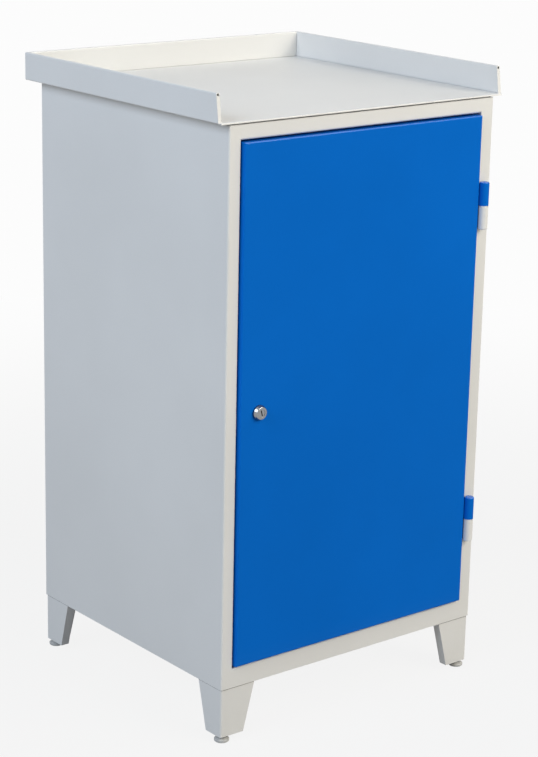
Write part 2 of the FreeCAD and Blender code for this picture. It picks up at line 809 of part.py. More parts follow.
def make_leg(name, side, end):
    """Tapered leg: two outer faces, return flanges, a top plate and a small plate for the foot's nut."""
    gauge = size.leg_sheet
    corner_x = side * (size.body_width / 2 - size.leg_inset)
    corner_y = end * (size.body_depth / 2 - size.leg_inset)
    plate_high = base - gauge
    wide = (size.leg_wide_bottom, size.leg_wide_top)
    narrow = (size.leg_narrow_bottom, size.leg_narrow_top)
    (bottom_x, top_x), (bottom_y, top_y) = (wide, narrow) if end < 0 else (narrow, wide)
    body = new_body(f"leg_{name}")

    def span_x(near_end, far_end):
        return sorted((corner_x - side * near_end, corner_x - side * far_end))

    def span_y(near_end, far_end):
        return sorted((corner_y - end * near_end, corner_y - end * far_end))

    def footprint(width_x, width_y, inset):
        return span_x(inset, width_x - inset), span_y(inset, width_y - inset)

    slope_x = (top_x - bottom_x) / size.leg_height
    slope_y = (top_y - bottom_y) / size.leg_height
    none = Size(0.0)
    taper(body, "shell", "Additive", footprint(bottom_x, bottom_y, none), footprint(top_x, top_y, none),
          size.foot_height, base)
    round_edges(body, "corner_bend", size.leg_fold + gauge,
                lambda edge: runs_along(edge, "z") and lies_at(edge, x=corner_x, y=corner_y))
    taper(body, "hollow", "Subtractive", footprint(bottom_x, bottom_y, gauge),
          footprint(top_x - slope_x * gauge, top_y - slope_y * gauge, gauge), size.foot_height, plate_high)
    round_edges(body, "corner_inside", size.leg_fold,
                lambda edge: runs_along(edge, "z") and lies_at(edge, x=corner_x - side * gauge,
                                                               y=corner_y - end * gauge))
    cut_block(body, "window", span_x(size.leg_return, top_x), span_y(size.leg_return, top_y),
              (size.foot_height, plate_high))
    block(body, "foot_plate", span_x(gauge * 0.75, size.leg_plate), span_y(gauge * 0.75, size.leg_plate),
          (size.foot_height, size.foot_height + gauge))
    stem_x, stem_y = foot_place(side, end)
    bore(body, "stem_hole", size.stem_radius + size.stem_hole_clearance,
         (stem_x, stem_y, size.foot_height), gauge)
    for label, x, y in leg_bolt_places():
        if label.startswith(name):
            bore(body, f"bolt_hole_{label}", size.leg_bolt_radius + size.hole_clearance,
                 (x, y, plate_high), gauge)
    joint = (base - size.joint_height, base)
    cut_block(body, "side_joint", span_x(none, size.joint_depth), span_y(none, top_y), joint)
    cut_block(body, "end_joint", span_x(none, top_x), span_y(none, size.joint_depth), joint)
    return keep(body)


def make_leg_fixings():
    """Bolts through the floor into the legs, their nuts, and the nuts welded in the legs for the feet."""
    gauge = size.leg_sheet
    bolts = []
    nuts = []
    for name, x, y in leg_bolt_places():
        shank = disc(f"leg_shank_{name}", size.leg_bolt_radius, (x, y, floor_top - size.leg_bolt_length),
                     size.leg_bolt_length)
        head = hexagon(f"leg_head_{name}", size.leg_bolt_across, (x, y, floor_top), size.leg_bolt_head)
        bolts.append(fused(f"leg_bolt_{name}", [shank, head]))
        nuts.append(hex_nut(f"leg_nut_{name}", size.leg_bolt_across, size.leg_bolt_radius + size.running_fit,
                            (x, y, base - gauge - size.leg_nut_height), size.leg_nut_height))
    group("leg_bolts", bolts)
    group("leg_bolt_nuts", nuts)
    weld_nuts = []
    for name, side, end in corner_signs():
        x, y = foot_place(side, end)
        weld_nuts.append(hex_nut(f"weld_nut_{name}", size.weld_nut_across,
                                 size.stem_radius + size.running_fit, (x, y, size.foot_height + gauge),
                                 size.weld_nut_height))
    group("leg_weld_nuts", weld_nuts)


def make_foot(name, side, end):
    """Levelling foot: a round pad, and a threaded stem with a hexagon collar that turns in it."""
    x, y = foot_place(side, end)
    socket = size.knob_radius + size.knob_clearance
    socket_floor = size.pad_height - size.knob_depth
    pad = new_body(f"foot_pad_{name}")
    turn(pad, "disc", [(Size(0.0), Size(0.0)), (size.pad_radius - size.pad_ease, Size(0.0)),
                       (size.pad_radius, size.pad_ease), (size.pad_radius, size.pad_rim),
                       (size.pad_shoulder, size.pad_height), (socket, size.pad_height),
                       (socket, socket_floor), (Size(0.0), socket_floor)])
    seat(pad, x, y, Size(0.0))
    keep(pad)
    collar_low = size.foot_height - size.collar_height
    stem = new_body(f"foot_stem_{name}")
    turn(stem, "spindle", [(Size(0.0), socket_floor), (size.knob_radius, socket_floor),
                           (size.knob_radius, size.pad_height), (size.stem_radius, size.pad_height),
                           (size.stem_radius, size.foot_height + size.stem_engaged),
                           (Size(0.0), size.foot_height + size.stem_engaged)])
    collar = stem.newObject("PartDesign::AdditivePrism", "collar")
    shape_hexagon(collar, size.collar_across, size.collar_height)
    seat(collar, Size(0.0), Size(0.0), collar_low)
    seat(stem, x, y, Size(0.0))
    keep(stem)


lock_x = door_left + size.lock_inset
lock_z = door_bottom + size.lock_rise
FACING_FRONT = FreeCAD.Rotation(FreeCAD.Vector(1, 0, 0), 90)


def make_door():
    """Door pan with folded edges and lips, and the stiffener behind its skin."""
    gauge = size.door_sheet
    skin_back = door_front + gauge
    lip_front = door_back - gauge
    body = new_body("door_skin")
    block(body, "blank", (door_left, door_right), (door_front, door_back), (door_bottom, door_top))
    round_edges(body, "front_bends", size.door_fold + gauge, lambda edge: lies_at(edge, y=door_front))
    cut_block(body, "inside", (door_left + gauge, door_right - gauge), (skin_back, lip_front),
              (door_bottom + gauge, door_top - gauge))
    round_edges(body, "inner_bends", size.door_fold, lambda edge: lies_at(edge, y=skin_back))
    cut_block(body, "back_opening", (door_left + size.door_lip, door_right - size.door_lip),
              (lip_front, door_back), (door_bottom + size.door_lip, door_top - size.door_lip))
    bore(body, "lock_hole", size.lock_barrel_radius + size.hole_clearance, (lock_x, skin_back, lock_z), gauge,
         FACING_FRONT)
    keep(body)
    middle = (door_left + door_right) / 2
    web_left = middle - size.stiffener_width / 2
    web_right = middle + size.stiffener_width / 2
    web = skin_back + size.stiffener_rise
    path = [(web_right + size.stiffener_flange, skin_back + size.stiffener_sheet),
            (web_right, skin_back + size.stiffener_sheet), (web_right, web), (web_left, web),
            (web_left, skin_back + size.stiffener_sheet),
            (web_left - size.stiffener_flange, skin_back + size.stiffener_sheet)]
    stiffener = new_body("door_stiffener")
    fold_sheet(stiffener, "hat", "XY_Plane", path, size.stiffener_sheet, size.stiffener_fold,
               door_bottom + gauge + size.stiffener_end_gap, door_top - gauge - size.stiffener_end_gap)
    keep(stiffener)
    buffer_height = stop_face - door_back - size.buffer_clearance
    buffer_x = open_left + (size.body_fold + size.stop_lip) / 2
    group("door_buffers", [disc(f"buffer_{name}", size.buffer_radius,
                                (buffer_x, stop_face, door_middle + sign * size.buffer_spread), buffer_height,
                                FACING_FRONT)
                           for name, sign in (("lower", -1), ("upper", 1))])


hinge_x = right - size.hinge_inset
hinge_y = front - size.knuckle_radius - size.knuckle_gap


def make_hinge(name, split):
    """Lift-off hinge: knuckle on the frame, pin, washer, and knuckle on the door above the split."""
    radius = size.knuckle_radius
    fit = size.pin_radius + size.running_fit
    centre = Size(0.0)
    lower = new_body(f"hinge_{name}_frame_knuckle")
    rod(lower, "barrel", radius, (centre, centre, -size.frame_knuckle), size.frame_knuckle)
    frame_face = front - hinge_y
    leaf_start = open_right + size.body_fold + size.body_sheet - hinge_x
    block(lower, "leaf", (leaf_start, size.leaf_reach), (frame_face - size.hinge_leaf, frame_face),
          (size.leaf_ease - size.frame_knuckle, centre))
    bore(lower, "pin_hole", fit, (centre, centre, -size.pin_depth), size.pin_depth)
    round_edges(lower, "end_round", size.knuckle_round,
                lambda edge: is_circle(edge, radius, -size.frame_knuckle))
    seat(lower, hinge_x, hinge_y, split)
    keep(lower)
    pin_top = size.hinge_washer + size.pin_depth - size.pin_air
    keep(disc(f"hinge_{name}_pin", size.pin_radius, (hinge_x, hinge_y, split - size.pin_depth),
              size.pin_depth + pin_top))
    keep(ring(f"hinge_{name}_washer", radius - size.washer_step, fit, (hinge_x, hinge_y, split),
              size.hinge_washer))
    upper = new_body(f"hinge_{name}_door_knuckle")
    seat_z = size.hinge_washer
    rod(upper, "barrel", radius, (centre, centre, seat_z), size.door_knuckle)
    leaf_front = door_front - hinge_y + size.leaf_setback
    block(upper, "leaf", (door_right - hinge_x, centre), (leaf_front, leaf_front + size.hinge_leaf),
          (seat_z, seat_z + size.door_knuckle - size.leaf_ease))
    bore(upper, "pin_hole", fit, (centre, centre, seat_z), size.pin_depth)
    round_edges(upper, "end_round", size.knuckle_round,
                lambda edge: is_circle(edge, radius, seat_z + size.door_knuckle))
    seat(upper, hinge_x, hinge_y, split)
    keep(upper)


def make_lock():
    """Cam lock: bezel and barrel, nut, plug with its keyway, cam that hangs down when open, and screw."""
    cam_face = size.door_proud + size.jamb_depth + size.body_sheet + size.cam_clearance
    barrel_end = cam_face - size.cam_clearance / 2
    bore_radius = size.plug_radius + size.running_fit
    place = (lock_x, door_front, lock_z)
    housing = new_body("lock_housing")
    turn(housing, "barrel", [(bore_radius, -barrel_end), (size.lock_barrel_radius, -barrel_end),
                             (size.lock_barrel_radius, Size(0.0)), (size.bezel_radius, Size(0.0)),
                             (size.bezel_radius, size.bezel_rim), (size.bezel_face_radius, size.bezel_height),
                             (bore_radius, size.bezel_height)])
    round_edges(housing, "bezel_round", size.bezel_round,
                lambda edge: is_circle(edge, size.bezel_radius, size.bezel_rim)
                or is_circle(edge, size.bezel_face_radius, size.bezel_height))
    seat(housing, *place, rotation=FACING_FRONT)
    keep(housing)
    nut = new_body("lock_nut")
    blank = nut.newObject("PartDesign::AdditivePrism", "blank")
    shape_hexagon(blank, size.lock_nut_across, size.lock_nut_height)
    nut_seat = -size.door_sheet - size.lock_nut_height
    seat(blank, Size(0.0), Size(0.0), nut_seat)
    bore(nut, "thread", size.lock_barrel_radius + size.running_fit, (Size(0.0), Size(0.0), nut_seat),
         size.lock_nut_height)
    seat(nut, *place, rotation=FACING_FRONT)
    keep(nut)
    plug = new_body("lock_plug")
    face = size.bezel_height - size.plug_recess
    rod(plug, "cylinder", size.plug_radius, (Size(0.0), Size(0.0), -cam_face), cam_face + face)
    bore(plug, "screw_hole", size.cam_screw_radius + size.running_fit, (Size(0.0), Size(0.0), -cam_face),
         size.cam_screw_length)
    half_width = size.keyway_width / 2
    half_length = size.keyway_length / 2
    cut_block(plug, "keyway", (-half_width, half_width), (-half_length, half_length),
              (face - size.keyway_depth, face))
    tilt = FreeCAD.Rotation(FreeCAD.Vector(0, 0, 1), float(size.keyway_angle))
    seat(plug, *place, rotation=FACING_FRONT.multiply(tilt))
    keep(plug)
    cam = new_body("lock_cam")
    cam_tip = lock_x - (open_left + size.stop_lip - size.cam_engagement)
    half = size.cam_width / 2
    block(cam, "bar", (-half, half), (-cam_tip, half), (-cam_face - size.cam_sheet, -cam_face))
    round_edges(cam, "corners", size.cam_round, lambda edge: runs_along(edge, "z"))
    bore(cam, "screw_hole", size.cam_screw_radius + size.hole_clearance,
         (Size(0.0), Size(0.0), -cam_face - size.cam_sheet), size.cam_sheet)
    seat(cam, *place, rotation=FACING_FRONT)
    keep(cam)
    screw = new_body("lock_cam_screw")
    head_seat = -cam_face - size.cam_sheet
    rod(screw, "head", size.cam_screw_head_radius, (Size(0.0), Size(0.0), head_seat - size.cam_screw_head),
        size.cam_screw_head)
    rod(screw, "shank", size.cam_screw_radius, (Size(0.0), Size(0.0), head_seat),
        size.cam_screw_length + size.cam_sheet - size.cam_screw_air)
    seat(screw, *place, rotation=FACING_FRONT)
    keep(screw)


make_side_panel("side_panel_left", -1, size.latch_stile)
make_side_panel("side_panel_right", 1, size.hinge_stile)
make_rails()
make_flat_panels()
for corner_name, corner_side, corner_end in corner_signs():
    make_upright(corner_name, corner_side, corner_end)
for shelf_name, shelf_slot in (("lower", size.lower_shelf_slot), ("upper", size.upper_shelf_slot)):
    make_clips(f"shelf_clips_{shelf_name}", shelf_slot)
    make_shelf(f"shelf_{shelf_name}", shelf_slot)
make_tray()
make_tray_fixings()
for corner_name, corner_side, corner_end in corner_signs():
    make_leg(corner_name, corner_side, corner_end)
    make_foot(corner_name, corner_side, corner_end)
make_leg_fixings()
make_door()
make_hinge("upper", door_top - size.upper_hinge_drop)
make_hinge("lower", door_bottom + size.lower_hinge_rise)
make_lock()
doc.recompute()

for item in doc.Objects:
    if "Invalid" in item.State or "Error" in item.State:
        raise RuntimeError(f"{item.Label} failed: {item.State}")
for node in nodes:
    if node.Shape.isNull() or not node.Shape.isValid() or not node.Shape.Solids:
        raise RuntimeError(f"{node.Label} has no valid solid")
os.makedirs("parts", exist_ok=True)
for node in nodes:
    node.Shape.exportStep(f"parts/{node.Label}.step")
print(f"{len(nodes)} pieces written")
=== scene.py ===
"""Dresses the workshop cabinet: paints, plated metal, rubber, small fittings, its camera and its light."""
import json
import logging
import math
from dataclasses import dataclass, field
from enum import Enum
from typing import Any, Sequence

import bmesh
import bpy
from mathutils import Matrix, Vector


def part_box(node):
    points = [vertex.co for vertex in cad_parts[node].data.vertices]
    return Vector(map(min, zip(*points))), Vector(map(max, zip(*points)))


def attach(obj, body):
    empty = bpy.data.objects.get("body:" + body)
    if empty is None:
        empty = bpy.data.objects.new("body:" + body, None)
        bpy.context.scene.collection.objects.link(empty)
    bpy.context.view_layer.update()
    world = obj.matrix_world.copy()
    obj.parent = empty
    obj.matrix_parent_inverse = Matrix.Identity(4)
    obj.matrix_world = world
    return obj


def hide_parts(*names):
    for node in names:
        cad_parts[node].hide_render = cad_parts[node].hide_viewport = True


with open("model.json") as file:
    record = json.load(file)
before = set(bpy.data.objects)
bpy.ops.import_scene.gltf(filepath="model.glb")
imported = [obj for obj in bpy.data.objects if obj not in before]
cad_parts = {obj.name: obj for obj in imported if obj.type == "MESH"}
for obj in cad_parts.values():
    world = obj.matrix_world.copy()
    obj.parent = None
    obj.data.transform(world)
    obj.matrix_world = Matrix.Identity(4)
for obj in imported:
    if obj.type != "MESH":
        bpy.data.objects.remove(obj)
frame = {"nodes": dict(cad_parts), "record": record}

LOG = logging.getLogger("cabinet")
MM = 0.001
UPRIGHT = Vector((0.0, 0.0, 1.0))
CORNERS = ("front_left", "front_right", "rear_left", "rear_right")
NOISE_MIDDLE = 0.5
NOISE_ROUGHNESS = 0.55

Colour = tuple[float, float, float]
Point = tuple[float, float, float]
Span = tuple[float, float]


class Slot(Enum):
    """Material slots of the record."""

    GREY = "light_grey_paint"
    BLUE = "blue_paint"
    ZINC = "zinc_steel"
    CHROME = "chrome"
    RUBBER = "rubber"
    PLASTIC = "grey_plastic"


def opaque(colour: Colour) -> tuple[float, float, float, float]:
    """Gives a colour full alpha."""
    return (*colour, 1.0)


def shifted(colour: Colour, factor: float) -> Colour:
    """Scales a colour's brightness."""
    return tuple(min(1.0, channel * factor) for channel in colour)


class Value:
    """A shader socket that takes part in Python arithmetic."""

    def __init__(self, graph: "Graph", socket: bpy.types.NodeSocket) -> None:
        """Wraps one output socket of a graph."""
        self.graph = graph
        self.socket = socket

    def joined(self, operation: str, first: Any, second: Any) -> "Value":
        """Adds one Math node.

        Args:
            operation: name of the Math node's operation.
            first: a value or a number.
            second: a value or a number.

        Returns:
            The node's result.
        """
        made = self.graph.node("ShaderNodeMath", {"operation": operation}, {0: first, 1: second})
        return Value(self.graph, made.outputs[0])

    def __add__(self, other: Any) -> "Value":
        """Sum."""
        return self.joined("ADD", self, other)

    def __radd__(self, other: Any) -> "Value":
        """Sum, reflected."""
        return self.joined("ADD", other, self)

    def __sub__(self, other: Any) -> "Value":
        """Difference."""
        return self.joined("SUBTRACT", self, other)

    def __rsub__(self, other: Any) -> "Value":
        """Difference, reflected."""
        return self.joined("SUBTRACT", other, self)

    def __mul__(self, other: Any) -> "Value":
        """Product."""
        return self.joined("MULTIPLY", self, other)

    def __rmul__(self, other: Any) -> "Value":
        """Product, reflected."""
        return self.joined("MULTIPLY", other, self)


class Graph:
    """The node tree of one material or of the world."""

    # Places of the colour sockets on a Mix node, which has a set of each kind.
    MIX_FACTOR, MIX_FIRST, MIX_SECOND, MIX_RESULT = 0, 6, 7, 2

    def __init__(self, owner: bpy.types.Material | bpy.types.World) -> None:
        """Starts an empty tree.

        Args:
            owner: the material or world that the tree belongs to.
        """
        owner.use_nodes = True
        self.tree = owner.node_tree
        self.tree.nodes.clear()

    def node(self, kind: str, settings: dict[str, Any] | None = None,
             inputs: dict[int | str, Any] | None = None) -> bpy.types.Node:
        """Adds a node.

        Args:
            kind: the node's type.
            settings: its properties, which are set first.
            inputs: numbers, colours or values for its sockets, by name or place.

        Returns:
            The new node.
        """
        made = self.tree.nodes.new(kind)
        for name, setting in (settings or {}).items():
            setattr(made, name, setting)
        for key, given in (inputs or {}).items():
            if isinstance(given, Value):
                self.tree.links.new(given.socket, made.inputs[key])
            else:
                made.inputs[key].default_value = given
        return made

    def value(self, kind: str, output: int | str, settings: dict[str, Any] | None = None,
              inputs: dict[int | str, Any] | None = None) -> Value:
        """Adds a node and takes one of its outputs."""
        return Value(self, self.node(kind, settings, inputs).outputs[output])

    def place(self) -> Value:
        """Object coordinates, in metres."""
        return self.value("ShaderNodeTexCoord", "Object")

    def axis(self, name: str) -> Value:
        """One of the Object coordinates."""
        return self.value("ShaderNodeSeparateXYZ", name, inputs={0: self.place()})

    def facing_up(self) -> Value:
        """How far the surface faces up, 1 for level and 0 for upright."""
        normal = self.value("ShaderNodeNewGeometry", "Normal")
        return self.value("ShaderNodeSeparateXYZ", "Z", inputs={0: normal})

    def noise(self, grain_mm: float, detail: float = 2.0, stretch: Point = (1.0, 1.0, 1.0)) -> Value:
        """Noise with grains of a given size.

        Args:
            grain_mm: rough size of a grain.
            detail: finer layers on top.
            stretch: how much longer a grain is on each axis.

        Returns:
            A value about NOISE_MIDDLE.
        """
        scale = tuple(1.0 / length for length in stretch)
        where = self.value("ShaderNodeMapping", "Vector", inputs={"Vector": self.place(), "Scale": scale})
        return self.value("ShaderNodeTexNoise", 0, inputs={
            "Vector": where, "Scale": 1.0 / (grain_mm * MM), "Detail": detail,
            "Roughness": NOISE_ROUGHNESS})

    def cells(self, grain_mm: float) -> Value:
        """Distance to the nearest point of a loose scatter with a given spacing."""
        return self.value("ShaderNodeTexVoronoi", "Distance", {"feature": "F1"},
                          {"Vector": self.place(), "Scale": 1.0 / (grain_mm * MM)})

    def span(self, value: Value, low: float, high: float, to_low: float = 0.0,
             to_high: float = 1.0) -> Value:
        """Eases a value from one span to another and holds it at the ends."""
        return self.value("ShaderNodeMapRange", 0, {"interpolation_type": "SMOOTHSTEP"}, {
            "Value": value, "From Min": low, "From Max": high, "To Min": to_low, "To Max": to_high})

    def band(self, value: Value, low: float, high: float) -> Value:
        """1 where a value lies between two limits, 0 elsewhere."""
        return value.joined("GREATER_THAN", value, low) * value.joined("LESS_THAN", value, high)

    def blend(self, factor: Value, first: Colour | Value, second: Colour | Value) -> Value:
        """Mixes two colours.

        Args:
            factor: share of the second colour.
            first: a colour or a value.
            second: a colour or a value.

        Returns:
            The mixed colour.
        """
        sides = [side if isinstance(side, Value) else opaque(side) for side in (first, second)]
        return self.value("ShaderNodeMix", self.MIX_RESULT, {"data_type": "RGBA"}, {
            self.MIX_FACTOR: factor, self.MIX_FIRST: sides[0], self.MIX_SECOND: sides[1]})

    def bump(self, height: Value, depth_mm: float, strength: float) -> Value:
        """Turns a height into a normal."""
        return self.value("ShaderNodeBump", "Normal", inputs={
            "Height": height, "Distance": depth_mm * MM, "Strength": strength})

    def surface(self, **sockets: Any) -> None:
        """Ends a material's tree in a Principled shader.

        Args:
            sockets: the shader's inputs by name, with underscores for blanks.
        """
        inputs = {name.replace("_", " "): given for name, given in sockets.items()}
        shader = self.value("ShaderNodeBsdfPrincipled", "BSDF", inputs=inputs)
        self.node("ShaderNodeOutputMaterial", inputs={"Surface": shader})


@dataclass(frozen=True)
class PowderCoat:
    """Smooth powder coat with orange peel, clouds and specks, and with glossier upper bends.

    It is dusty low down, and has painted shade in the legs' joint grooves, which lie between the two heights
    of joint.
    """

    name: str
    colour: Colour
    roughness: float = 0.4
    specular: float = 0.5
    coat: float = 0.1
    edge_coat: float = 0.0
    coat_roughness: float = 0.2
    bend_span: Span = (0.1, 0.6)
    cloud: float = 0.035
    cloud_mm: float = 320.0
    cloud_share: float = 0.7
    cloud_dulling: float = 0.12
    shade_span: Span = (0.3, 0.7)
    speck_mm: float = 0.9
    speck_dulling: float = 0.06
    peel_mm: float = 2.4
    peel_depth_mm: float = 0.05
    peel_strength: float = 0.12
    dust: Colour = (0.5, 0.49, 0.46)
    dust_mm: float = 14.0
    dust_top: float = 160.0 * MM
    dust_most: float = 0.1
    dust_dulling: float = 0.6
    joint: Span = (90.5 * MM, 91.95 * MM)
    # Painted shade: the colour that darkens the legs' joint grooves between the two heights of joint.
    groove_shade: Colour = (0.07, 0.07, 0.068)

    def make(self) -> bpy.types.Material:
        """Builds the material.

        Returns:
            The new material.
        """
        material = bpy.data.materials.new(self.name)
        graph = Graph(material)
        clouds = graph.noise(self.cloud_mm, detail=3.0)
        specks = graph.noise(self.speck_mm, detail=1.0)
        peel = graph.noise(self.peel_mm, detail=1.5)
        shade = clouds * self.cloud_share + specks * (1.0 - self.cloud_share)
        paint = graph.blend(graph.span(shade, *self.shade_span), shifted(self.colour, 1.0 - self.cloud),
                            shifted(self.colour, 1.0 + self.cloud))
        low = graph.span(graph.axis("Z"), self.dust_top, 0.0, 0.0, self.dust_most)
        dusty = graph.blend(low * graph.noise(self.dust_mm, detail=4.0), paint, self.dust)
        # Painted shade: the legs' joint grooves are darkened here, standing for the shadow in the gap under
        # the body.
        groove_shaded = graph.blend(graph.band(graph.axis("Z"), *self.joint), dusty, self.groove_shade)
        roughness = (self.roughness + (clouds - NOISE_MIDDLE) * self.cloud_dulling
                     + (specks - NOISE_MIDDLE) * self.speck_dulling + low * self.dust_dulling)
        coat = graph.span(graph.facing_up(), *self.bend_span, self.coat, self.coat + self.edge_coat)
        graph.surface(Base_Color=groove_shaded, Roughness=roughness, Specular_IOR_Level=self.specular,
                      Coat_Weight=coat, Coat_Roughness=self.coat_roughness,
                      Normal=graph.bump(peel, self.peel_depth_mm, self.peel_strength))
        return material


@dataclass(frozen=True)
class PlatedSteel:
    """Bright plated steel with drawn streaks, a faint spangle and finger-worn spots."""

    name: str
    colour: Colour
    roughness: float = 0.32
    shades: Span = (0.9, 1.06)
    shade_span: Span = (0.2, 0.7)
    streak: float = 0.12
    streak_mm: float = 0.35
    streak_stretch: Point = (1.0, 1.0, 14.0)
    streak_share: float = 0.6
    streak_depth_mm: float = 0.02
    streak_strength: float = 0.15
    spangle_mm: float = 1.6
    tint: Colour = (0.6, 0.58, 0.52)
    worn_mm: float = 5.0
    worn_span: Span = (0.55, 0.75)
    worn_most: float = 0.35
    dull_span: Span = (0.5, 0.8)
    dull_most: float = 0.12

    def make(self) -> bpy.types.Material:
        """Builds the material.

        Returns:
            The new material.
        """
        material = bpy.data.materials.new(self.name)
        graph = Graph(material)
        streaks = graph.noise(self.streak_mm, stretch=self.streak_stretch)
        spangle = graph.cells(self.spangle_mm)
        spots = graph.noise(self.worn_mm, detail=3.0)
        shade = streaks * self.streak_share + spangle * (1.0 - self.streak_share)
        dark, light = (shifted(self.colour, factor) for factor in self.shades)
        metal = graph.blend(graph.span(shade, *self.shade_span), dark, light)
        worn = graph.blend(graph.span(spots, *self.worn_span, 0.0, self.worn_most), metal, self.tint)
        roughness = (self.roughness + (streaks - NOISE_MIDDLE) * self.streak
                     + graph.span(spots, *self.dull_span) * self.dull_most)
        graph.surface(Base_Color=worn, Metallic=1.0, Roughness=roughness,
                      Normal=graph.bump(streaks, self.streak_depth_mm, self.streak_strength))
        return material


@dataclass(frozen=True)
class Moulded:
    """Moulded rubber or plastic with a fine grain and scuffs."""

    name: str
    colour: Colour
    scuff: Colour
    roughness: float = 0.6
    shades: Span = (0.93, 1.07)
    grain_mm: float = 0.6
    grain_dulling: float = 0.2
    grain_depth_mm: float = 0.06
    grain_strength: float = 0.3
    scuff_mm: float = 4.0
    scuff_stretch: Point = (1.0, 1.0, 2.5)
    scuff_span: Span = (0.56, 0.72)
    scuff_most: float = 0.4

    def make(self) -> bpy.types.Material:
        """Builds the material.

        Returns:
            The new material.
        """
        material = bpy.data.materials.new(self.name)
        graph = Graph(material)
        grain = graph.noise(self.grain_mm)
        scuffs = graph.noise(self.scuff_mm, detail=4.0, stretch=self.scuff_stretch)
        dark, light = (shifted(self.colour, factor) for factor in self.shades)
        body = graph.blend(grain, dark, light)
        scuffed = graph.blend(graph.span(scuffs, *self.scuff_span, 0.0, self.scuff_most), body, self.scuff)
        roughness = self.roughness + (grain - NOISE_MIDDLE) * self.grain_dulling
        graph.surface(Base_Color=scuffed, Roughness=roughness,
                      Normal=graph.bump(grain, self.grain_depth_mm, self.grain_strength))
        return material


FINISHES: dict[Slot, PowderCoat | PlatedSteel | Moulded] = {
    Slot.GREY: PowderCoat("light_grey_powder_coat", (0.72, 0.72, 0.71)),
    Slot.BLUE: PowderCoat("blue_powder_coat", (0.0021, 0.1355, 0.577), roughness=0.42, specular=0.02,
                          coat=0.0, edge_coat=0.9, cloud=0.05),
    Slot.ZINC: PlatedSteel("zinc_plate", (0.62, 0.63, 0.64)),
    Slot.CHROME: PlatedSteel("nickel_chrome_plate", (0.29, 0.295, 0.305), roughness=0.16, streak=0.05,
                             tint=(0.33, 0.32, 0.33)),
    Slot.RUBBER: Moulded("black_rubber", (0.03, 0.03, 0.03), (0.09, 0.09, 0.085), roughness=0.75),
    Slot.PLASTIC: Moulded("light_grey_plastic", (0.5, 0.5, 0.49), (0.36, 0.35, 0.34), roughness=0.5),
}


class Blank:
    """A mesh in the making, in metres, that ends as a piece at the origin."""

    # Half the width of a thread's ridge at its foot and at its crest, as shares of the pitch.
    RIDGE_FOOT, RIDGE_CREST = 0.45, 0.06
    MERGE_DISTANCE = 1e-6

    def __init__(self) -> None:
        """Starts with no geometry."""
        self.mesh = bmesh.new()

    def outline(self, profile: Sequence[tuple[float, float]],
                centre: Vector) -> list[bmesh.types.BMVert | bmesh.types.BMEdge]:
        """Lays a profile beside an upright axis.

        Args:
            profile: its points as radius and height.
            centre: the point on the axis that the heights start from.

        Returns:
            The profile's vertices and edges.
        """
        verts = [self.mesh.verts.new(centre + Vector((radius, 0.0, height))) for radius, height in profile]
        return verts + [self.mesh.edges.new(pair) for pair in zip(verts, verts[1:])]

    def lathe(self, profile: Sequence[tuple[float, float]], centre: Vector, steps: int = 48) -> None:
        """Spins a profile about an upright axis."""
        bmesh.ops.spin(self.mesh, geom=self.outline(profile, centre), cent=centre, axis=UPRIGHT,
                       angle=math.tau, steps=steps, use_merge=True)

    def thread(self, centre: Vector, core: float, crest: float, pitch: float, turns: int,
               steps: int = 20) -> None:
        """Winds a pointed ridge up an upright rod.

        Args:
            centre: the point on the rod's axis where the ridge starts.
            core: radius at the ridge's foot.
            crest: radius at its crest.
            pitch: rise in one turn.
            turns: number of turns.
            steps: steps in one turn.
        """
        foot, tip = self.RIDGE_FOOT * pitch, self.RIDGE_CREST * pitch
        ridge = self.outline([(core, -foot), (crest, -tip), (crest, tip), (core, foot)], centre)
        bmesh.ops.spin(self.mesh, geom=ridge, cent=centre, axis=UPRIGHT, dvec=UPRIGHT * (pitch / steps),
                       angle=math.tau * turns, steps=steps * turns)

    def prism(self, centre: Vector, radius: float, height: Vector, ease: float, sides: int,
              start_deg: float = 0.0) -> None:
        """Raises a prism, or a disc of many sides, and eases its two rims.

        Args:
            centre: middle of its foot.
            radius: distance from its axis to its corners.
            height: the way from its foot to its top.
            ease: width of the bevel on each rim.
            sides: number of sides.
            start_deg: turn of the first corner about its axis.
        """
        turn = UPRIGHT.rotation_difference(height).to_matrix().to_4x4()
        start = Matrix.Rotation(math.radians(start_deg), 4, "Z")
        verts = bmesh.ops.create_circle(self.mesh, cap_ends=True, segments=sides, radius=radius,
                                        matrix=Matrix.Translation(centre) @ turn @ start)["verts"]
        cap = next(face for face in verts[0].link_faces if len(face.verts) == sides)
        rims = list(cap.edges)
        made = bmesh.ops.extrude_face_region(self.mesh, geom=[cap], use_keep_orig=True)["geom"]
        raised = [item for item in made if isinstance(item, bmesh.types.BMVert)]
        rims += [item for item in made if isinstance(item, bmesh.types.BMEdge)]
        bmesh.ops.translate(self.mesh, verts=raised, vec=height)
        bmesh.ops.bevel(self.mesh, geom=rims, offset=ease, segments=2, profile=0.5, affect="EDGES",
                        material=-1)

    def finish(self, name: str, slot: Slot, material: bpy.types.Material, body: str,
               smooth_deg: float = 35.0) -> bpy.types.Object:
        """Turns the mesh into a piece.

        Args:
            name: the piece's name.
            slot: the record's slot of its finish; not used.
            material: its material.
            body: the CAD body that it rides on.
            smooth_deg: edges sharper than this stay crisp.

        Returns:
            The new object.
        """
        bmesh.ops.remove_doubles(self.mesh, verts=self.mesh.verts, dist=self.MERGE_DISTANCE)
        bmesh.ops.recalc_face_normals(self.mesh, faces=self.mesh.faces)
        for face in self.mesh.faces:
            face.smooth = True
        for edge in self.mesh.edges:
            edge.smooth = len(edge.link_faces) == 2 and edge.calc_face_angle() < math.radians(smooth_deg)
        data = bpy.data.meshes.new(name)
        self.mesh.to_mesh(data)
        self.mesh.free()
        data.materials.append(material)
        piece = bpy.data.objects.new(name, data)
        bpy.context.scene.collection.objects.link(piece)
        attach(piece, body)
        LOG.info("%s: %d faces on %s", name, len(data.polygons), body)
        return piece


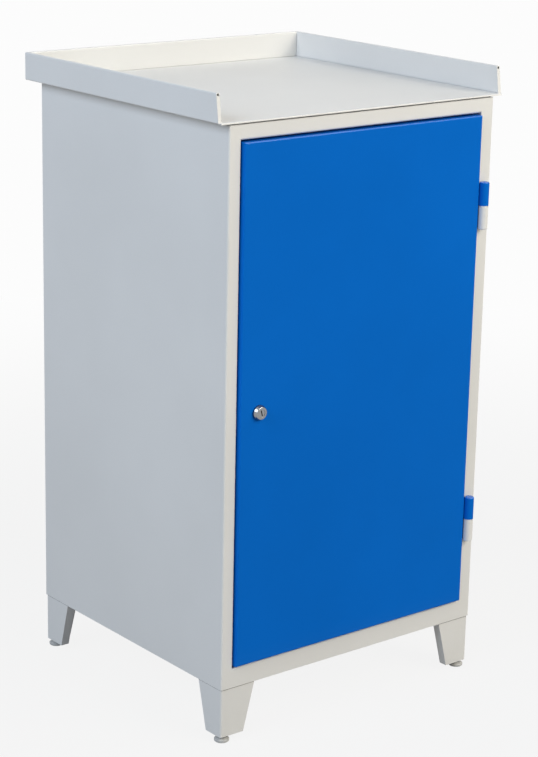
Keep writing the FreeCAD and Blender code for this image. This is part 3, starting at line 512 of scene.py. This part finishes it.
@dataclass
class Finisher:
    """Makes each finish once and gives it to the CAD nodes of its slot."""

    materials: dict[Slot, bpy.types.Material] = field(default_factory=dict)

    def build(self) -> None:
        """Makes the materials."""
        for slot, finish in FINISHES.items():
            self.materials[slot] = finish.make()

    def dress(self) -> None:
        """Gives every CAD node the material of its slot."""
        for subpart in frame["record"]["subparts"]:
            node = frame["nodes"][subpart["node"]]
            node.data.materials.clear()
            node.data.materials.append(self.materials[Slot(subpart["material_slot"])])
            LOG.info("%s: %s", subpart["node"], subpart["material_slot"])


@dataclass
class LevellingFeet:
    """The threaded stems of the four feet, with heights from the floor."""

    finisher: Finisher
    knob_radius: float = 5.2 * MM
    knob_top: float = 6.5 * MM
    collar_across: float = 13.0 * MM
    collar_low: float = 7.5 * MM
    collar_height: float = 3.5 * MM
    collar_sides: int = 6
    collar_turn_deg: float = 90.0
    stem_radius: float = 4.0 * MM
    thread_pitch: float = 1.25 * MM
    root_depth: float = 0.65 * MM
    ease: float = 0.8 * MM

    def build(self) -> None:
        """Builds the four stems in place of their plain solids."""
        for corner in CORNERS:
            self.build_stem(corner)

    def build_stem(self, corner: str) -> None:
        """Builds one stem: knob, eased hexagon collar and cut thread.

        Args:
            corner: name of the leg's corner.
        """
        node = f"foot_stem_{corner}"
        low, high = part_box(node)
        axis = Vector(((low.x + high.x) / 2, (low.y + high.y) / 2, 0.0))
        core = self.stem_radius - self.root_depth
        neck = self.collar_low + self.collar_height + self.ease
        start = neck + self.ease
        end = high.z - self.ease
        blank = Blank()
        blank.lathe([(0.0, low.z), (self.knob_radius - self.ease, low.z),
                     (self.knob_radius, low.z + self.ease), (self.knob_radius, self.knob_top),
                     (self.stem_radius, self.knob_top), (self.stem_radius, neck),
                     (core, start), (core, end), (core - self.ease, high.z), (0.0, high.z)], axis)
        collar_radius = self.collar_across / 2 / math.cos(math.pi / self.collar_sides)
        blank.prism(axis + UPRIGHT * self.collar_low, collar_radius, UPRIGHT * self.collar_height,
                    self.ease / 2, self.collar_sides, self.collar_turn_deg)
        turns = int((end - start) / self.thread_pitch)
        blank.thread(axis + UPRIGHT * start, core, self.stem_radius, self.thread_pitch, turns)
        piece = blank.finish(f"stem_thread_{corner}", Slot.ZINC, self.finisher.materials[Slot.ZINC],
                             f"stem_{corner}")
        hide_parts(node)


@dataclass
class SpotWelds:
    """Shallow weld marks under the paint, on the door's stiffener and on the folds at the back."""

    finisher: Finisher
    radius: float = 2.8 * MM
    height: float = 0.16 * MM
    sides: int = 16
    pitch: float = 92.0 * MM
    margin: float = 30.0 * MM
    sheet: float = 1.2 * MM
    flange_middle: float = 8.0 * MM
    fold_middle: float = 11.0 * MM

    def build(self) -> None:
        """Builds the two sets of marks."""
        low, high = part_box("door_stiffener")
        self.build_row("door_weld_marks", Slot.BLUE, "door", low.y + self.sheet, low.z, high.z,
                       (low.x + self.flange_middle, high.x - self.flange_middle))
        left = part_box("side_panel_left")
        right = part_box("side_panel_right")
        self.build_row("back_weld_marks", Slot.GREY, "cabinet", left[1].y, left[0].z, left[1].z,
                       (left[0].x + self.fold_middle, right[1].x - self.fold_middle))

    def build_row(self, name: str, slot: Slot, body: str, face: float, low: float, high: float,
                  columns: Sequence[float]) -> None:
        """Builds upright columns of marks that face the back.

        Args:
            name: the piece's name.
            slot: its finish.
            body: the CAD body that it rides on.
            face: y of the sheet's face.
            low: foot of the columns.
            high: top of the columns.
            columns: x of each column.
        """
        blank = Blank()
        length = high - low - 2 * self.margin
        count = int(length / self.pitch)
        step = length / count
        for x in columns:
            for row in range(count + 1):
                blank.prism(Vector((x, face, low + self.margin + row * step)), self.radius,
                            Vector((0.0, self.height, 0.0)), self.height / 2, self.sides)
        blank.finish(name, slot, self.finisher.materials[slot], body)


@dataclass
class UpstandEnds:
    """Black discs in the small holes at the front ends of the side upstands, as painted shade for the dark
    inside of their open channels.
    """

    finisher: Finisher
    hole_middle: float = 3.0 * MM
    setback: float = 10.1 * MM
    depth: float = 2.0 * MM
    recess: float = 0.45 * MM
    radius: float = 1.75 * MM
    ease: float = 0.2 * MM
    sides: int = 24

    def build(self) -> None:
        """Builds both ends as one piece."""
        low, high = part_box("worktop_tray")
        blank = Blank()
        for x in (low.x + self.hole_middle, high.x - self.hole_middle):
            foot = Vector((x, low.y + self.setback + self.depth, high.z - self.hole_middle))
            forwards = Vector((0.0, self.recess - self.depth, 0.0))
            blank.prism(foot, self.radius, forwards, self.ease, self.sides)
        # Painted shade: black discs that stand in for the dark inside of the open channels.
        blank.finish("upstand_end_shade_discs", Slot.RUBBER, self.finisher.materials[Slot.RUBBER], "cabinet")


@dataclass(frozen=True)
class Softbox:
    """A large square lamp that is aimed at a point."""

    name: str
    place: Point
    aim: Point
    size: float
    watts: float
    colour: Colour

    def build(self) -> None:
        """Adds the lamp."""
        lamp = bpy.data.lights.new(self.name, "AREA")
        lamp.size = self.size
        lamp.energy = self.watts
        lamp.color = self.colour
        holder = bpy.data.objects.new(self.name, lamp)
        look = (Vector(self.aim) - Vector(self.place)).to_track_quat("-Z", "Y")
        holder.matrix_world = Matrix.Translation(self.place) @ look.to_matrix().to_4x4()
        bpy.context.scene.collection.objects.link(holder)


@dataclass
class Studio:
    """Pale floor, white surroundings, soft lamps and the camera."""

    white: Colour = (0.975, 0.975, 0.975)
    floor_size: float = 80.0
    floor_colour: Colour = (0.35, 0.35, 0.35)
    floor_glow: float = 0.9
    floor_fade: Span = (0.7, 2.6)
    ambient: Colour = (1.0, 1.0, 1.0)
    ambient_strength: float = 0.22
    lamps: tuple[Softbox, ...] = (
        Softbox("front_softbox", place=(1.2, -3.4, 2.6), aim=(0.0, 0.0, 0.6), size=2.4, watts=126.0,
                colour=(1.0, 0.939, 0.812)),
        Softbox("left_softbox", place=(-4.2, -0.5, 3.4), aim=(0.0, 0.0, 0.8), size=3.0, watts=160.0,
                colour=(0.743, 0.853, 1.0)),
        Softbox("top_softbox", place=(1.5, -0.95, 2.8), aim=(0.0, 0.0, 0.9), size=1.2, watts=8.0,
                colour=(1.0, 1.0, 1.0)),
    )
    camera_place: Point = (-2.1465, -2.689, 1.4868)
    camera_yaw: float = 38.85
    camera_pitch: float = 16.07
    camera_roll: float = 1.21
    lens: float = 102.32
    sensor: float = 36.0

    def build(self) -> None:
        """Builds the stage."""
        bpy.context.scene.view_settings.view_transform = "Standard"
        self.build_world()
        self.build_floor()
        for lamp in self.lamps:
            lamp.build()
        self.build_camera()

    def seen_directly(self, graph: Graph) -> Value:
        """Marks what is seen, as against the light that falls on things.

        Args:
            graph: the tree that the value is for.

        Returns:
            1 for what the camera, a mirror or glass sees, and 0 elsewhere.
        """
        path = graph.node("ShaderNodeLightPath")
        seen = Value(graph, path.outputs["Is Camera Ray"]) + Value(graph, path.outputs["Is Glossy Ray"])
        return seen + Value(graph, path.outputs["Is Transmission Ray"])

    def build_world(self) -> None:
        """Makes the world white where it is seen, and an even light elsewhere."""
        world = bpy.data.worlds.new("studio")
        bpy.context.scene.world = world
        graph = Graph(world)
        light = graph.value("ShaderNodeBackground", 0, inputs={
            "Color": opaque(self.ambient), "Strength": self.ambient_strength})
        white = graph.value("ShaderNodeBackground", 0, inputs={"Color": opaque(self.white), "Strength": 1.0})
        mixed = graph.value("ShaderNodeMixShader", 0, inputs={
            0: self.seen_directly(graph), 1: light, 2: white})
        graph.node("ShaderNodeOutputWorld", inputs={"Surface": mixed})

    def build_floor(self) -> None:
        """Lays a pale floor that is near white where it is seen and keeps a soft shadow."""
        mesh = bmesh.new()
        bmesh.ops.create_grid(mesh, x_segments=1, y_segments=1, size=self.floor_size / 2)
        data = bpy.data.meshes.new("floor")
        mesh.to_mesh(data)
        mesh.free()
        material = bpy.data.materials.new("pale_floor")
        graph = Graph(material)
        matt = graph.value("ShaderNodeBsdfDiffuse", 0, inputs={"Color": opaque(self.floor_colour)})
        glow = graph.value("ShaderNodeEmission", 0, inputs={"Color": opaque(self.white), "Strength": 1.0})
        far = graph.value("ShaderNodeVectorMath", "Value", {"operation": "LENGTH"}, {0: graph.place()})
        share = self.seen_directly(graph) * graph.span(far, *self.floor_fade, self.floor_glow, 1.0)
        mixed = graph.value("ShaderNodeMixShader", 0, inputs={0: share, 1: matt, 2: glow})
        graph.node("ShaderNodeOutputMaterial", inputs={"Surface": mixed})
        data.materials.append(material)
        floor = bpy.data.objects.new("floor", data)
        bpy.context.scene.collection.objects.link(floor)

    def build_camera(self) -> None:
        """Sets the camera at the photograph's place and angle."""
        angles = (self.camera_yaw, self.camera_pitch, self.camera_roll)
        yaw, pitch, roll = (math.radians(angle) for angle in angles)
        ahead = Vector((math.sin(yaw) * math.cos(pitch), math.cos(yaw) * math.cos(pitch),
                        -math.sin(pitch)))
        level = Vector((math.cos(yaw), -math.sin(yaw), 0.0))
        above = level.cross(ahead)
        right = level * math.cos(roll) + above * math.sin(roll)
        up = above * math.cos(roll) - level * math.sin(roll)
        camera = bpy.data.cameras.new("camera")
        camera.lens = self.lens
        camera.sensor_width = self.sensor
        holder = bpy.data.objects.new("camera", camera)
        turn = Matrix((right, up, -ahead)).transposed().to_4x4()
        holder.matrix_world = Matrix.Translation(self.camera_place) @ turn
        bpy.context.scene.collection.objects.link(holder)
        bpy.context.scene.camera = holder


def main() -> None:
    """Builds and dresses the cabinet."""
    logging.basicConfig(level=logging.INFO, format="%(message)s")
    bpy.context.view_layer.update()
    finisher = Finisher()
    finisher.build()
    finisher.dress()
    LevellingFeet(finisher).build()
    SpotWelds(finisher).build()
    UpstandEnds(finisher).build()
    Studio().build()


if __name__ == "__main__":
    main()
